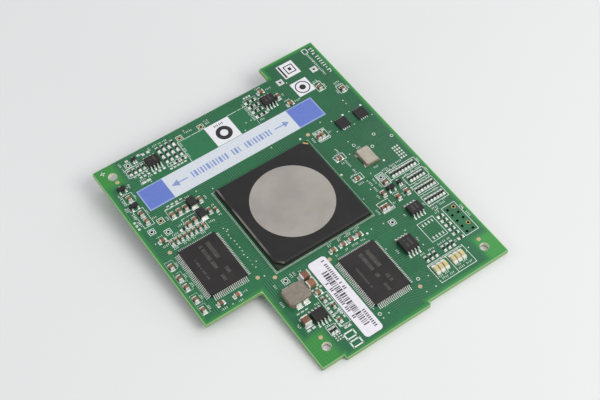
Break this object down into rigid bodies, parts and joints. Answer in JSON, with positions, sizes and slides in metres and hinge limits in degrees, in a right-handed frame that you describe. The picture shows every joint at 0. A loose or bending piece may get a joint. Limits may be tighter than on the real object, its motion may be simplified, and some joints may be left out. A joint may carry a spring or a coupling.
{
  "type": "fibre channel expansion card",
  "caption": "Mezzanine expansion card for a blade server: an L-shaped green circuit board with a large controller, memory chips and a board-to-board connector underneath.",
  "frame": {"origin": "bottom centre of the whole card, at the lower face of the connector", "axes": "+X along the connector, +Y towards the card's back edge with the tab, +Z out of the component side"},
  "size_m": [0.0956, 0.1124, 0.0095],
  "materials": {
    "solder_mask": "green solder mask over glass-filled laminate",
    "connector_plastic": "black moulded plastic",
    "gold_plate": "gold-plated",
    "blue_label": "printed paper label",
    "white_label": "printed paper label",
    "solder": "bright solder",
    "package_laminate": "dark laminate",
    "mould_compound": "black mould compound",
    "spreader_metal": "matt nickel-plated",
    "tinned_lead": "tin-plated",
    "lid_metal": "champagne-coloured plate",
    "ceramic_base": "dark ceramic",
    "ferrite": "grey-brown ferrite",
    "tantalum_mould": "dark moulded case",
    "brown_ceramic": "fired brown ceramic",
    "resistor_black": "glazed film on ceramic",
    "led_base": "white",
    "led_lens": "clear straw-coloured resin"
  },
  "bodies": {
    "root": {"circuit_board": "solder_mask", "connector_housing": "connector_plastic", "connector_contacts": "gold_plate", "press_label": "blue_label", "serial_label": "white_label", "controller_solder_balls": "solder", "controller_substrate": "package_laminate", "controller_cap": "mould_compound", "controller_heat_spreader": "spreader_metal", "memory_chip_left": "mould_compound", "memory_chip_left_leads": "tinned_lead", "memory_chip_right": "mould_compound", "memory_chip_right_leads": "tinned_lead", "power_chip_left": "mould_compound", "power_chip_left_leads": "tinned_lead", "power_chip_right": "mould_compound", "power_chip_right_leads": "tinned_lead", "identity_chip": "mould_compound", "identity_chip_leads": "tinned_lead", "regulator_chip": "mould_compound", "regulator_chip_leads": "tinned_lead", "flash_chip": "mould_compound", "flash_chip_leads": "tinned_lead", "flat_chip_inner": "mould_compound", "flat_chip_inner_pads": "tinned_lead", "flat_chip_outer": "mould_compound", "flat_chip_outer_pads": "tinned_lead", "transistors": "mould_compound", "transistor_leads": "tinned_lead", "oscillator_base": "ceramic_base", "oscillator_lid": "lid_metal", "inductor_core": "ferrite", "inductor_straps": "tinned_lead", "tantalum_capacitors": "tantalum_mould", "tantalum_straps": "tinned_lead", "bulk_capacitors": "brown_ceramic", "bulk_capacitor_ends": "tinned_lead", "filter_capacitors": "brown_ceramic", "filter_capacitor_ends": "tinned_lead", "memory_capacitors": "brown_ceramic", "memory_capacitor_ends": "tinned_lead", "sense_resistors_left": "resistor_black", "sense_resistors_right": "resistor_black", "termination_resistors": "resistor_black", "led_resistors": "resistor_black", "strap_resistors": "resistor_black", "supply_capacitors": "brown_ceramic", "underside_capacitors": "brown_ceramic", "led_bases": "led_base", "led_lenses": "led_lens"}
  },
  "joints": []
}
